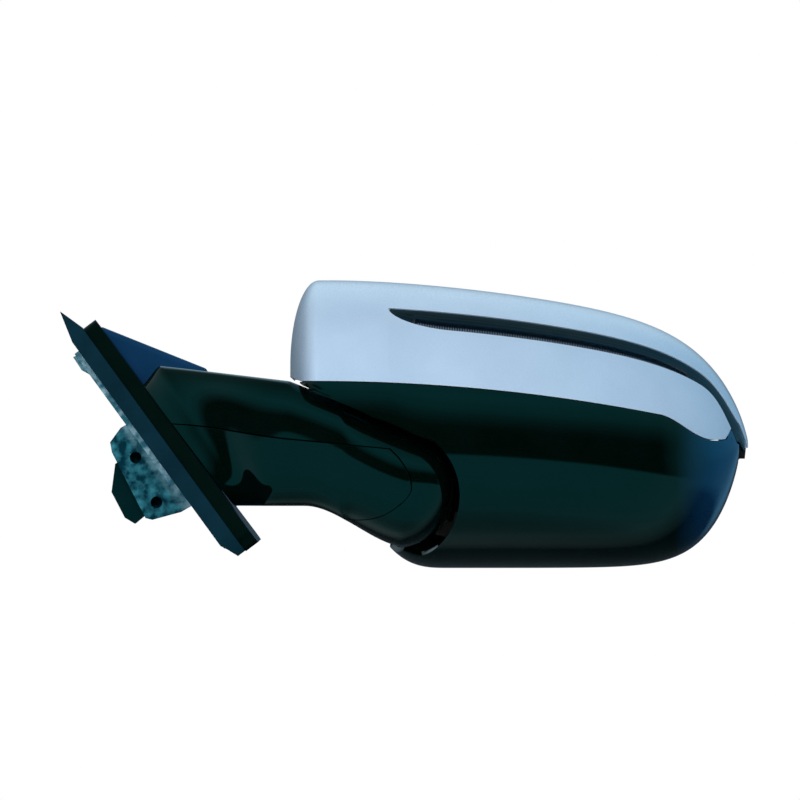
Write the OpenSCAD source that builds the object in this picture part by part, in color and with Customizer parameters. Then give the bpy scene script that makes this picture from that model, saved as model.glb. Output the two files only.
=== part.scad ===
// Car door mirror for a left door, millimetres, +X outboard, +Y to the rear, +Z up.
// The origin is the middle of the gasket face that lies on the door.

/* [Head] */
// inboard end of the head, measured outboard from the door face middle
head_x = 79.5; // [76:0.5:88]
// width of the head
head_w = 250.2; // [235:0.5:265]
// highest point of the cap
head_top = 85.7; // [80:0.2:92]
// lowest point of the lower housing
head_bottom = -71; // [-78:0.5:-68]
// depth of the shells ahead of their rear rim
head_depth = 93; // [88:0.5:100]
// rear rim of the shells, behind the fold axis
rim_y = 48; // [46:0.5:52]
// wall of the moulded shells
shell_wall = 2.5; // [2:0.1:3]
// parting gap between shells
seam_gap = 0.5; // [0.4:0.05:0.8]

/* [Signal lens] */
// inboard point of the lens
lens_x = 133; // [125:0.5:145]
// length of the pointed end of the lens
lens_nose = 34; // [24:1:44]
// thickness of the lens
lens_t = 2.2; // [1.8:0.1:2.4]
// thickness of the light guide
guide_t = 3; // [2.4:0.1:3.4]

/* [Base and arm] */
// lean of the door face from the vertical
door_lean = 37; // [32:0.5:40]
// thickness of the gasket
gasket_t = 9; // [7:0.5:10]
// height of the sail cover flange
flange_t = 8.2; // [7:0.2:9]
// wall of the sail cover
cover_wall = 3; // [2.4:0.2:3.6]
// wall of the arm covers
arm_wall = 2.8; // [2.4:0.1:3.2]
// gap between the arm's round end and the head
pocket_gap = 2.6; // [2:0.1:3.4]
// diameter of the screw holes in the lug
lug_hole_d = 6.4; // [5.4:0.1:7]
// distance between the two lug holes
lug_hole_pitch = 26.8; // [24:0.1:28]
// tapping diameter of the door bolt bosses
bolt_d = 5; // [4.2:0.1:6]

/* [Pivot] */
// fold axis, measured outboard from the door face middle
pivot_x = 139.3; // [137:0.1:142]
// lean of the fold axis toward the tip
fold_lean = 12; // [10:0.5:13]
// diameter of the pivot post
post_d = 18; // [16:0.5:20]
// running clearance of the post in the hub, on the radius
post_clear = 0.08; // [0.03:0.01:0.1]
// free turns of the pivot spring
spring_turns = 3; // [2:0.5:3.5]
// wire diameter of the pivot spring
spring_wire = 2.6; // [2:0.1:2.8]

/* [Glass and actuator] */
// middle of the glass, measured outboard from the door face middle
glass_x = 212; // [208:0.5:216]
// middle of the glass above the door face middle
glass_z = 3; // [0:0.5:6]
// half width of the bezel opening
open_w = 101; // [96:0.5:104]
// half height of the bezel opening
open_h = 60; // [56:0.5:62]
// gap between glass and bezel
glass_gap = 4.2; // [3.8:0.1:5]
// thickness of the mirror glass
glass_t = 2.2; // [1.8:0.1:2.6]
// lever arm of each adjuster plunger
plunger_r = 30; // [28:0.5:32]
// diameter of the adjuster plungers
plunger_d = 8; // [7:0.2:9]
// running clearance of the plungers, on the radius
plunger_clear = 0.1; // [0.05:0.01:0.1]

/* [Hidden] */
$fn = 48;
eps = 0.01;
fit = 0.3;
stack_gap = 0.1;

// exponent of the head and arm sections
sec_q = 2 / 2.4;
tip_x = head_x + head_w;
tip_z = -7.7;
end_r = 15.6;
end_drop = 46.8;
crown_x = head_x + 24;
nose_x = head_x + 70;
heel_x = head_x + 90;
heel_up = 12;
chin_x = tip_x - 6;
chin_z = -11.5;

// cap edge, lens and tail of the cap near the tip
tail_x = tip_x - 11;
dip_x = tip_x - 50;
sweep_x = tip_x - 30;
cap_end = tip_x - 1;
lens_end = tip_x - 2.6;
guide_end = tip_x - 34;

// round end of the arm, centred on the fold axis in plan
thumb_z = -26;
thumb_a = 30.2;
thumb_up = 31;
thumb_low = 33;
join_x = pivot_x + 12.2;
join_z = 2.4;
brow_slope = 0.38;
arm_front = -40;
arm_back = -9;
thumb_back = 24;
arm_slope = 0.395;
root_slope = 0.12;
bend_x = 80;
prow_x = 9.2;
root_top_x = 0.4;
root_top_z = 28.7;
root_low_x = 50.2;
root_front = -33;
root_rake = 36;
arm_floor = -36.4;
foot_x = pivot_x - 5.5;
pivot_z = -17.3;

// heights along the fold axis
boss_top = 27;
detent_t = 3.7;
hub_low = boss_top + fit + detent_t + fit;
plate_low = 35.8;
plate_t = 2.5;
hub_top = 52;
washer_t = 1.5;
spring_len = 18;
cup_t = 2.7;
clip_t = 1.4;
post_top = 79;
post_low = -22;
hub_r = 14;
arm_hole_r = 20;
boss_r = 14;
pocket_r = 40;
pocket_wall = 2.5;

// glass stack, measured along Y
gimbal_y = 30;
holder_y = 37.2;
holder_t = 2.4;
pad_t = 0.6;
case_y0 = -6;
case_y1 = 22;
carrier_t = 3.5;
gimbal_r = 15;
pin_r = 2;
ear_r = 4;
bezel_y = rim_y + 8;
skirt_y = 31;
case_w = 72;

function clamp01(t) = min(1, max(0, t));
function smooth(t) = let (c = clamp01(t)) c * c * (3 - 2 * c);
function lerp(a, b, t) = a + (b - a) * t;
function spow(v, p) = sign(v) * pow(abs(v), p);
function ends(n, k) = (1 - cos(180 * k / n)) / 2;

// outline of the head seen from the front
function end_round(x) = pow(1 - pow(clamp01((head_x + end_r - x) / end_r), 2), 1 / 2);
function fall(u, share, soft, hard, p) = share * pow(u, soft) + (1 - share) * (1 - pow(1 - pow(u, hard), p));
function crown(x) = fall(clamp01((x - crown_x) / (tip_x - crown_x)), 0.35, 1.69, 8.74, 0.68);
function top_z(x) = head_top - (head_top - tip_z) * crown(x) - end_drop * (1 - end_round(x));
function chin(x) = fall(clamp01((x - heel_x) / (chin_x - heel_x)), 0.06, 4, 8.9, 0.8);
function heel(x) = heel_up * pow(clamp01((pivot_x + 26 - x) / 32), 3);
function bottom_z(x) = head_bottom + (chin_z - head_bottom) * chin(x) + heel(x);
function mid_z(x) = (top_z(x) + bottom_z(x)) / 2;
function half_h(x) = (top_z(x) - bottom_z(x)) / 2;
function nose(x) = pow(1 - pow(clamp01((x - nose_x) / (tip_x - nose_x)), 2.2), 1 / 2);
function depth(x) = head_depth * end_round(x) * nose(x);

// one point of the head's skin, off is the distance below the outer face
function skin(x, phi, off = 0) =
    let (h = half_h(x), d = depth(x))
    let (hi = max(h - off, 0.4 * h), di = max(d - off, 0.4 * d))
    [head_x + off + (x - head_x) * (head_w - 2 * off) / head_w,
     rim_y - di * pow(max(0, cos(phi)), sec_q),
     mid_z(x) + hi * spow(sin(phi), sec_q)];
function phi_of(x, z) = asin(spow(max(-1, min(1, (z - mid_z(x)) / half_h(x))), 1 / sec_q));
function gap_phi(x, g) = g / half_h(x) * 57.3;

// cap edge and lens edges as section angles
function edge_z(x) =
    30.8 - 18 * pow(max(0, (x - head_x - 15) / (head_w - 65)), 2) + 2.2 * clamp01((head_x + 6 - x) / 5);
function edge_main(x) = phi_of(min(x, dip_x), edge_z(min(x, dip_x)));
function lens_top(x) =
    90 - 0.505 * (90 - edge_main(min(x, sweep_x))) - 50 * pow(clamp01((x - sweep_x) / (tip_x - sweep_x)), 3);
function lens_full(x) =
    90 - 0.66 * (90 - edge_main(min(x, sweep_x))) - 100 * pow(clamp01((x - sweep_x) / (tip_x - sweep_x)), 3);
function lens_open(x) = max(0.07, sqrt(1 - pow(1 - clamp01((x - lens_x) / lens_nose), 2)));
function lens_low(x) = lerp(lens_top(x), lens_full(x), lens_open(x));
function edge_dip(x) = edge_main(x) - 8 * smooth((x - dip_x) / (tail_x - 10 - dip_x));
function cap_edge(x) =
    x < tail_x ? lerp(edge_dip(x), lens_low(x) - 2.5, smooth((x - tail_x + 2.5) / 2.5)) : lens_low(x);

// outline of the arm seen from the front
function thumb_g(x) = sqrt(max(0, 1 - pow((x - pivot_x) / thumb_a, 2)));
function arm_line(x) = join_z + (join_x - max(x, bend_x)) * arm_slope + max(0, bend_x - x) * root_slope;
function arm_top(x) =
    x > join_x ? thumb_z + thumb_up * thumb_g(x)
               : min(arm_line(x), root_top_z + (x - root_top_x) * 1.33);
function arm_low(x) =
    x > pivot_x ? thumb_z - thumb_low * thumb_g(x)
                : arm_floor
                  - (thumb_low - thumb_z + arm_floor) * smooth((x - bend_x - 8) / (pivot_x - 3 - bend_x));
function arm_yf(x) =
    x > pivot_x ? arm_front * pow(thumb_g(x), 0.4)
                : lerp(root_front, arm_front, smooth((x - prow_x) / (bend_x - prow_x)));
function arm_yr(x) =
    x > pivot_x ? thumb_back * thumb_g(x)
                : arm_back + (thumb_back - arm_back) * sqrt(max(0, 1 - pow((pivot_x - x) / thumb_a, 2)))
                  + 10 * smooth((60 - x) / 50);

// one point of the arm's skin, xt is the place of the section along the top line
function arm_pt(xt, phi, off = 0) =
    let (far = smooth((xt - root_top_x) / (bend_x - root_top_x)))
    let (xb = xt + (root_low_x - root_top_x) * (1 - far))
    let (pt = [xt, arm_top(xt)], pb = [xb, arm_low(xb)])
    let (c = (pt + pb) / 2, h = (pt - pb) / 2, hl = norm(h))
    let (k = max(0.5, 1 - off / hl))
    let (xm = (xt + xb) / 2, yc = (arm_yf(xm) + arm_yr(xm)) / 2, yh = (arm_yr(xm) - arm_yf(xm)) / 2)
    let (yk = max(0.5, 1 - off / yh))
    [c[0] + h[0] * k * spow(sin(phi), sec_q) - off * smooth((xt - pivot_x) / thumb_a),
     yc - yh * yk * spow(cos(phi), sec_q) + root_rake * (1 - far) * (1 + k * spow(sin(phi), sec_q)) / 2,
     c[1] + h[1] * k * spow(sin(phi), sec_q)];
function crease(x) =
    let (z = 7 - 0.1 * (x - 10))
    let (c = (arm_top(x) + arm_low(x)) / 2, h = (arm_top(x) - arm_low(x)) / 2)
    asin(spow(max(-0.9, min(0.6, (z - c) / h)), 1 / sec_q));

// closed body between an outer and an inner grid; on(r, c) tells which cells exist
module sheet(outer, inner, on, wrap = false, pole = false) {
    rows = len(outer);
    cols = len(outer[0]);
    cells = wrap ? rows : rows - 1;
    half = rows * cols;
    a = function(r, c) (r % rows) * cols + c;
    b = function(r, c) half + a(r, c);
    in_grid = function(r, c) c >= 0 && c < cols - 1 && (wrap || (r >= 0 && r < cells));
    has = function(r, c) in_grid(r, c) && on((r + cells) % cells, c);
    faces = [
        for (r = [0:cells - 1], c = [0:cols - 2]) if (has(r, c)) each concat(
            [[a(r, c), a(r, c + 1), a(r + 1, c + 1)], [a(r, c), a(r + 1, c + 1), a(r + 1, c)]],
            [[b(r, c), b(r + 1, c + 1), b(r, c + 1)], [b(r, c), b(r + 1, c), b(r + 1, c + 1)]],
            has(r - 1, c) ? [] : [[a(r, c), b(r, c), b(r, c + 1)], [a(r, c), b(r, c + 1), a(r, c + 1)]],
            has(r + 1, c) ? [] : [[a(r + 1, c), b(r + 1, c + 1), b(r + 1, c)],
                                  [a(r + 1, c), a(r + 1, c + 1), b(r + 1, c + 1)]],
            has(r, c - 1) ? [] : [[a(r, c), b(r + 1, c), b(r, c)], [a(r, c), a(r + 1, c), b(r + 1, c)]],
            has(r, c + 1) || (pole && c == cols - 2) ? [] :
                [[a(r, c + 1), b(r, c + 1), b(r + 1, c + 1)],
                 [a(r, c + 1), b(r + 1, c + 1), a(r + 1, c + 1)]])];
    caps = pole ? [[for (r = [0:rows - 1]) a(r, cols - 1)],
                   [for (r = [rows - 1:-1:0]) b(r, cols - 1)]] : [];
    polyhedron(points = concat([for (row = outer) each row], [for (row = inner) each row]),
               faces = concat(faces, caps), convexity = 8);
}

module on_pivot() {
    translate([pivot_x, 0, pivot_z])
        rotate([0, fold_lean, 0])
            children();
}

module ring(r1, r0, z0, z1) {
    translate([0, 0, z0])
        difference() {
            cylinder(h = z1 - z0, r = r1);
            translate([0, 0, -1])
                cylinder(h = z1 - z0 + 2, r = r0);
        }
}

// door frame: X leaves the door, Y runs to the rear, Z runs up the slope
module on_door() {
    rotate([0, -door_lean, 0])
        children();
}

// flat shape in the door plane, x of the shape runs to the rear and y up the slope
module door_slab(w0, w1) {
    on_door()
        translate([w0, 0, 0])
            rotate([90, 0, 90])
                linear_extrude(height = w1 - w0)
                    children();
}

/* shells of the head */
cap_cols = 52;
cap_high = 6;
cap_rows = 4;
function cap_x(k) = head_x + (cap_end - head_x) * ends(cap_cols, k);
function cap_phi(x, r) =
    r < cap_high ? lerp(90, lens_top(x), r / (cap_high - 1))
                 : lerp(lens_low(x), cap_edge(x), (r - cap_high) / cap_rows);
function cap_grid(off) =
    [for (r = [0:cap_high + cap_rows]) [for (k = [0:cap_cols]) let (x = cap_x(k)) skin(x, cap_phi(x, r), off)]];

slit = min([for (k = [0:cap_cols]) if (cap_x(k) >= lens_x) k]);

module upper_cap() {
    tail = max([for (k = [0:cap_cols]) if (cap_x(k) <= tail_x) k]);
    keep = function(r, c) r < cap_high - 1 || (r == cap_high - 1 && c < slit) || (r >= cap_high && c < tail);
    color([0.7, 0.8, 0.9])
        sheet(cap_grid(0), cap_grid(shell_wall), keep);
}

house_cols = 44;
house_rows = 14;
function house_top(x) = cap_edge(x) - gap_phi(x, seam_gap * (1 + 0.9 * smooth((x - dip_x) / 25)));
function pocket_edge(phi) =
    let (z = mid_z(pivot_x) + half_h(pivot_x) * spow(sin(phi), sec_q))
    let (brow_z = join_z + 0.4 * pocket_gap,
         b = z > thumb_z ? thumb_up + 0.6 * pocket_gap : thumb_low + pocket_gap)
    let (g = sqrt(max(0, 1 - pow((z - thumb_z) / b, 2))))
    phi < -66 ? lerp(pivot_x + 2, foot_x, (-66 - phi) / 24)
              : z > brow_z ? max(head_x + 6, join_x - (z - brow_z) / brow_slope)
                           : max(pivot_x + 2, pivot_x + (thumb_a + pocket_gap) * g);
function house_x(r, k) =
    lerp(pocket_edge(lerp(house_top(pivot_x), -90, pow(r / house_rows, 1.25))),
         chin_x - 0.5, ends(house_cols, k));
function house_phi(x, r) = lerp(house_top(x), -90, pow(r / house_rows, 1.25));
function house_grid(off) =
    [for (r = [0:house_rows]) [for (k = [0:house_cols]) let (x = house_x(r, k)) skin(x, house_phi(x, r), off)]];

module lower_housing() {
    color([0.02, 0.09, 0.12])
        sheet(house_grid(0), house_grid(shell_wall), function(r, c) true);
}

/* signal unit in the slit of the cap */
// value of f at x on the straight line between the cap's columns
function on_cols(f, x) =
    let (k = floor(cap_cols * acos(1 - 2 * (x - head_x) / (cap_end - head_x)) / 180 + eps))
    let (a = cap_x(k), b = cap_x(k + 1))
    lerp(f(a), f(b), (x - a) / (b - a));
module strip(x0, x1, low, high, off0, off1) {
    rows = 3;
    inner = [for (k = [slit:cap_cols]) if (cap_x(k) > x0 + 1 && cap_x(k) < x1 - 0.2) cap_x(k)];
    xs = concat([x0], inner, [x1]);
    grid = function(off) [for (r = [0:rows]) [for (x = xs)
        let (a = on_cols(function(v) lens_top(v), x),
             b = on_cols(function(v) lens_low(v), x),
             g = gap_phi(x, seam_gap))
        skin(x, lerp(lerp(a, b, low) - g, lerp(a, b, high) + g, r / rows), off)]];
    sheet(grid(off0), grid(off1), function(r, c) true);
}

module signal_lens() {
    color([0.06, 0.14, 0.18])
        strip(cap_x(slit) + 0.6, lens_end, 0, 1, 0.4, 0.4 + lens_t);
}

module light_guide() {
    off = 0.4 + lens_t + 0.3;
    color([0.6, 0.7, 0.75])
        strip(lens_x + 14, guide_end, 0.3, 0.8, off, off + guide_t);
}

module signal_reflector() {
    off = 0.4 + lens_t + guide_t + 0.6;
    color([0.8, 0.82, 0.84])
        strip(lens_x + 14, guide_end, 0.05, 1, off, off + 1.5);
}

module signal_board() {
    off = 0.4 + lens_t + guide_t + 2.5;
    color([0.1, 0.35, 0.2])
        strip(lens_x + 18, lens_x + 70, -0.2, 1.2, off, off + 1.6);
}

/* rear bezel and glass */
// the corner beside the arm is cut off straight
function open_r(t) =
    let (fall = 1 - 0.16 * cos(t), cut = max(0, cos(t - 204)) / (0.73 * open_w))
    let (full = pow(pow(abs(cos(t)) / open_w, 3) + pow(abs(sin(t)) / (open_h * fall), 3), 1 / 3))
    pow(pow(full, 8) + pow(cut, 8), -1 / 8);
function open_pt(t, grow) =
    let (r = open_r(t) + grow)
    [glass_x + r * cos(t), glass_z + r * sin(t) - 0.05 * r * cos(t)];
glass_n = 72;
glass_line = [for (k = [0:glass_n - 1]) open_pt(360 * k / glass_n, -glass_gap)];

function toe(t) =
    let (p0 = [foot_x, bottom_z(foot_x)], p1 = [pivot_x + 2, 14], p2 = [head_x, edge_z(head_x) + 2])
    pow(1 - t, 2) * p0 + 2 * t * (1 - t) * p1 + t * t * p2;
rim_line = concat(
    [for (k = [0:30]) let (x = head_x + (tip_x - 1.2 - head_x) * ends(30, k)) [x, top_z(x)]],
    [for (k = [0:18]) let (x = lerp(tip_x - 2.4, foot_x, 1 - cos(90 * k / 18))) [x, bottom_z(x)]],
    [for (k = [1:11]) toe(k / 12)]);
function open_at(p, grow) =
    let (d = [p[0] - glass_x, p[1] - glass_z + 0.05 * (p[0] - glass_x)])
    open_pt((atan2(d[1], d[0]) + 360) % 360, grow);

module rear_bezel() {
    n = len(rim_line);
    lip = [for (p = rim_line) open_at(p, 0)];
    far = [for (p = rim_line) open_at(p, 2)];
    section = function(k)
        let (o = rim_line[k], i = lip[k], j = far[k])
        [[o[0], rim_y + fit, o[1]],
         [lerp(o[0], i[0], 0.12), rim_y + 4.6, lerp(o[1], i[1], 0.12)],
         [lerp(o[0], i[0], 0.4), bezel_y - 1, lerp(o[1], i[1], 0.4)],
         [lerp(o[0], i[0], 0.75), bezel_y, lerp(o[1], i[1], 0.75)],
         [i[0], bezel_y - 1.6, i[1]],
         [i[0], skirt_y, i[1]],
         [j[0], skirt_y, j[1]],
         [lerp(j[0], o[0], 0.25), rim_y + fit, lerp(j[1], o[1], 0.25)]];
    m = 8;
    pts = [for (k = [0:n - 1]) each section(k)];
    at = function(k, s) (k % n) * m + (s % m);
    faces = [for (k = [0:n - 1], s = [0:m - 1]) each
        [[at(k, s), at(k + 1, s + 1), at(k + 1, s)], [at(k, s), at(k, s + 1), at(k + 1, s + 1)]]];
    color([0.03, 0.04, 0.045])
        polyhedron(points = pts, faces = faces, convexity = 6);
}

module glass_slab(y0, y1, shrink = 0) {
    translate([0, y1, 0])
        rotate([90, 0, 0])
            linear_extrude(height = y1 - y0)
                offset(delta = -shrink)
                    polygon(glass_line);
}

module mirror_glass() {
    y = holder_y + holder_t + pad_t + 0.2;
    color([0.75, 0.8, 0.84])
        glass_slab(y, y + glass_t, 0.6);
}

module heater_pad() {
    y = holder_y + holder_t + 0.1;
    color([0.5, 0.3, 0.12])
        glass_slab(y, y + pad_t, 4);
}

module at_glass(x = 0, y = 0, z = 0) {
    translate([glass_x + x, y, glass_z + z])
        rotate([-90, 0, 0])
            children();
}

module glass_holder() {
    cup_r = plunger_d / 2 + 3.2;
    color([0.08, 0.08, 0.085])
        difference() {
            union() {
                glass_slab(holder_y, holder_y + holder_t, 0.6);
                for (s = [-1, 1])
                    translate([glass_x + s * (gimbal_r + 3.4) - 2.4, gimbal_y - ear_r, glass_z - ear_r])
                        cube([4.8, holder_y - gimbal_y + ear_r + 0.2, 2 * ear_r]);
                at_glass(0, gimbal_y - 1, -plunger_r)
                    cylinder(h = holder_y - gimbal_y + 1.2, r = cup_r);
                at_glass(plunger_r, gimbal_y - 1, 0)
                    cylinder(h = holder_y - gimbal_y + 1.2, r = cup_r);
            }
            translate([glass_x, gimbal_y, glass_z])
                rotate([0, 90, 0])
                    cylinder(h = 3 * gimbal_r, r = pin_r + plunger_clear, center = true);
            at_glass(0, gimbal_y - 3, -plunger_r)
                cylinder(h = holder_y - gimbal_y + 2.6, r = plunger_d / 2 + 0.9);
            at_glass(plunger_r, gimbal_y - 3, 0)
                cylinder(h = holder_y - gimbal_y + 2.6, r = plunger_d / 2 + 0.9);
        }
}

module heater_terminals() {
    color([0.85, 0.75, 0.5])
        for (s = [-1, 1])
            translate([glass_x + 52 + s * 7 - 3, holder_y - 8 - 0.1, glass_z - 20])
                cube([6, 8, 0.8]);
}

module gimbal_ring() {
    color([0.85, 0.85, 0.82]) {
        difference() {
            union() {
                at_glass(0, gimbal_y - 3)
                    cylinder(h = 6, r = gimbal_r);
                translate([glass_x, gimbal_y, glass_z])
                    cylinder(h = 2 * gimbal_r + 11, r = pin_r, center = true);
                translate([glass_x, gimbal_y, glass_z])
                    rotate([0, 90, 0])
                        cylinder(h = 2 * gimbal_r + 11, r = pin_r, center = true);
            }
            at_glass(0, gimbal_y - 4)
                cylinder(h = 8, r = gimbal_r - 4);
        }
    }
}

module plunger() {
    y0 = 2;
    neck = 5;
    color([0.9, 0.9, 0.88])
        rotate([-90, 0, 0]) {
            translate([0, 0, y0])
                cylinder(h = gimbal_y - neck - y0, d = plunger_d);
            translate([0, 0, gimbal_y - neck - eps])
                cylinder(h = neck, d = plunger_d * 0.6);
            translate([0, 0, gimbal_y])
                sphere(d = plunger_d - 0.4);
        }
}

module tilt_plunger() {
    translate([glass_x, 0, glass_z - plunger_r])
        plunger();
}

module pan_plunger() {
    translate([glass_x + plunger_r, 0, glass_z])
        plunger();
}

module case_shape(grow = 0) {
    offset(r = 12 + grow)
        square([case_w - 24, case_w - 24], center = true);
}

screw_spots = [[-27, 27], [27, 27], [-27, -27]];
screw_r = 1.9;

module actuator_case() {
    color([0.12, 0.12, 0.13])
        difference() {
            union() {
                at_glass(0, case_y0)
                    linear_extrude(height = case_y1 - case_y0 - 4)
                        case_shape();
                at_glass(0, case_y0)
                    linear_extrude(height = case_y1 - case_y0)
                        case_shape(-5);
                for (s = [-1, 1])
                    translate([glass_x - ear_r, case_y1 - 2, glass_z + s * (gimbal_r + 3.4) - 2.4])
                        cube([2 * ear_r, gimbal_y - case_y1 + ear_r + 1.7, 4.8]);
            }
            translate([glass_x, gimbal_y, glass_z])
                cylinder(h = 3 * gimbal_r, r = pin_r + plunger_clear, center = true);
            at_glass(0, case_y0 + 2, -plunger_r)
                cylinder(h = case_y1 - case_y0, r = plunger_d / 2 + plunger_clear);
            at_glass(plunger_r, case_y0 + 2, 0)
                cylinder(h = case_y1 - case_y0, r = plunger_d / 2 + plunger_clear);
            for (p = screw_spots)
                at_glass(p[0], case_y0 - 1, p[1])
                    cylinder(h = 12, r = screw_r + 0.05);
        }
}

module frame_screws() {
    color([0.7, 0.72, 0.74])
        for (p = screw_spots) {
            at_glass(p[0], case_y0 - fit - carrier_t - 0.1 - 2.4, p[1])
                cylinder(h = 2.4, r = 3.6);
            at_glass(p[0], case_y0 - fit - carrier_t - 0.2, p[1])
                cylinder(h = 12, r = screw_r);
        }
}

/* head frame */
bezel_posts = [77, 100, 252, 292];

module head_frame() {
    carrier_y = case_y0 - fit;
    ear_y = 16;
    post_r = 3;
    top = glass_z + case_w / 2 - 3;
    color([0.2, 0.2, 0.21])
        difference() {
            union() {
                translate([0, carrier_y, 0])
                    rotate([90, 0, 0])
                        linear_extrude(height = carrier_t)
                            offset(r = 8)
                                polygon([[184, -40], [262, -36], [256, 14], [228, top], [206, top],
                                         [206, -2], [184, -4]]);
                on_pivot() {
                    ring(hub_r, post_d / 2 - 2, hub_low, hub_top);
                    ring(hub_r + 4, post_d / 2 - 2, hub_low, plate_low + 1);
                    translate([0, 0, plate_low])
                        linear_extrude(height = plate_t)
                            offset(r = 6)
                                polygon([[-40, -20], [26, -26], [36, -24], [36, -14], [18, -14],
                                         [18, 10], [-40, 10]]);
                    translate([0, 0, -20])
                        rotate_extrude(angle = 16, start = -26)
                            translate([pocket_r - 1, 0])
                                square([pocket_wall + 1, plate_low + plate_t + 19.5]);
                    rotate_extrude(angle = 46, start = -14)
                        polygon([[27, -30], [31.5, -21.5], [pocket_r - 1, -21.5], [pocket_r - 1, -16],
                                 [pocket_r + pocket_wall, -16], [pocket_r + pocket_wall, -30]]);
                    translate([0, -4, 0])
                        rotate([90, 0, 0])
                            linear_extrude(height = 2.5)
                                polygon([[-60, 34], [-18, 26.6], [-16, 37], [-60, 37]]);
                }
                for (t = bezel_posts) {
                    p = open_pt(t, 2);
                    s = sign(sin(t));
                    stem = glass_z + (s > 0 ? case_w / 2 + 0.5 : -case_w / 2 - 13);
                    low = s > 0 ? stem : p[1] - post_r;
                    high = s > 0 ? p[1] + post_r : stem + 4;
                    translate([p[0], ear_y, p[1]])
                        rotate([-90, 0, 0])
                            cylinder(h = skirt_y - fit - ear_y, r = post_r);
                    translate([p[0] - 4, ear_y, low])
                        cube([8, 4, high - low]);
                    translate([p[0] - 4, carrier_y - carrier_t, stem])
                        cube([8, ear_y + 4 - carrier_y + carrier_t, 4]);
                }
            }
            on_pivot()
                translate([0, 0, hub_low - 1])
                    cylinder(h = hub_top - hub_low + 2, r = post_d / 2 + post_clear);
            on_pivot()
                translate([0, 0, -21])
                    cylinder(h = 21 + boss_top, r = pocket_r);
            for (p = screw_spots)
                at_glass(p[0], carrier_y - carrier_t - 1, p[1])
                    cylinder(h = carrier_t + 2, r = screw_r + 0.4);
        }
}

module fold_drive() {
    color([0.14, 0.14, 0.15])
        on_pivot()
            difference() {
                translate([0, 0, plate_low + plate_t + fit])
                    linear_extrude(height = hub_top - plate_low - plate_t - fit)
                        offset(r = 8)
                            polygon([[-34, -10], [11, -11], [11, 9], [-34, 7]]);
                translate([0, 0, plate_low])
                    cylinder(h = hub_top, r = hub_r + fit);
            }
}

module fold_motor() {
    color([0.6, 0.62, 0.64])
        on_pivot()
            translate([-29, 0, hub_top + fit])
                union() {
                    cylinder(h = 20, r = 10);
                    cylinder(h = 22.5, r = 3);
                }
}

/* pivot stack */
module pivot_post() {
    groove_z = hub_top + fit + washer_t + fit + spring_len + fit + cup_t;
    color([0.75, 0.76, 0.78])
        on_pivot()
            difference() {
                ring(post_d / 2, post_d / 2 - 3, post_low, post_top);
                ring(post_d / 2 + 1, post_d / 2 - 1.1, groove_z, groove_z + clip_t + 0.4);
            }
}

module detent_ring() {
    color([0.55, 0.56, 0.58])
        on_pivot()
            difference() {
                ring(16, post_d / 2 + fit, boss_top + 0.1, boss_top + fit + detent_t);
                for (a = [0, 120, 240])
                    rotate(a)
                        translate([post_d / 2, -1.5, boss_top + fit + detent_t - 1.2])
                            cube([10, 3, 3]);
            }
}

module thrust_washer() {
    color([0.9, 0.88, 0.8])
        on_pivot()
            ring(hub_r - 0.5, post_d / 2 + fit, hub_top + fit, hub_top + fit + washer_t);
}

module pivot_spring() {
    z0 = hub_top + 2 * fit + washer_t;
    r = post_d / 2 + fit + spring_wire / 2 + 0.4;
    w = spring_wire / 2;
    seg = 14;
    turns = spring_turns + 2;
    n = ceil(seg * turns);
    sides = 6;
    rise = spring_len - spring_wire - 0.1;
    flat = spring_wire * 1.05;
    climb = function(k) let (t = k / seg) z0 + w + 0.05
        + flat * (clamp01(t) + clamp01(t - 1 - spring_turns))
        + (rise - 2 * flat) * clamp01((t - 1) / spring_turns);
    pts = [for (k = [0:n]) each [for (s = [0:sides - 1])
        let (a = 360 * k / seg, b = 360 * s / sides)
        [(r + w * cos(b)) * cos(a), (r + w * cos(b)) * sin(a), climb(k) + w * sin(b)]]];
    at = function(k, s) k * sides + s % sides;
    faces = concat(
        [for (k = [0:n - 1], s = [0:sides - 1]) each
            [[at(k, s), at(k + 1, s), at(k + 1, s + 1)], [at(k, s), at(k + 1, s + 1), at(k, s + 1)]]],
        [[for (s = [0:sides - 1]) at(0, s)], [for (s = [sides - 1:-1:0]) at(n, s)]]);
    color([0.5, 0.52, 0.55])
        on_pivot()
            polyhedron(points = pts, faces = faces, convexity = 8);
}

module spring_cup() {
    z0 = hub_top + 3 * fit + washer_t + spring_len;
    color([0.65, 0.66, 0.68])
        on_pivot()
            ring(hub_r + 1, post_d / 2 + fit, z0, z0 + cup_t - fit);
}

module spring_clip() {
    z0 = hub_top + 3 * fit + washer_t + spring_len + cup_t;
    color([0.45, 0.46, 0.48])
        on_pivot()
            translate([0, 0, z0 + 0.1])
                rotate_extrude(angle = 300, start = 30)
                    translate([post_d / 2 - 0.9, 0])
                        square([4, clip_t]);
}

/* arm covers */
arm_cols = 26;
arm_split = 19;
arm_round = 17;
arm_under = 10;
function seam_x(f) =
    f < 0.27 ? pivot_x - 5.3 + 11.8 * sin(90 * f / 0.27)
             : pivot_x - 30.3 + 36.8 * (1 - smooth(pow((f - 0.27) / 0.73, 0.7)));
function split_x(r) =
    r <= 9 ? seam_x(0)
           : r <= arm_round ? lerp(seam_x(0), seam_x(1), (r - 9) / (arm_round - 9))
                            : seam_x(1 - (r - arm_round) / arm_under);
function arm_col_x(r, k, g) =
    k == 0 ? root_top_x
  : k <= arm_split ? lerp(prow_x, split_x(r) - g, (k - 1) / (arm_split - 1))
                   : lerp(split_x(r) - g, pivot_x + thumb_a - 0.2,
                          sin(90 * (k - arm_split) / (arm_cols - arm_split)));
function arm_phi(x, r, g) =
    let (a = crease(x))
    r <= arm_round ? lerp(a, 270, r / arm_round)
                   : lerp(270 + g, 360 + a - g, (r - arm_round) / arm_under);
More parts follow.
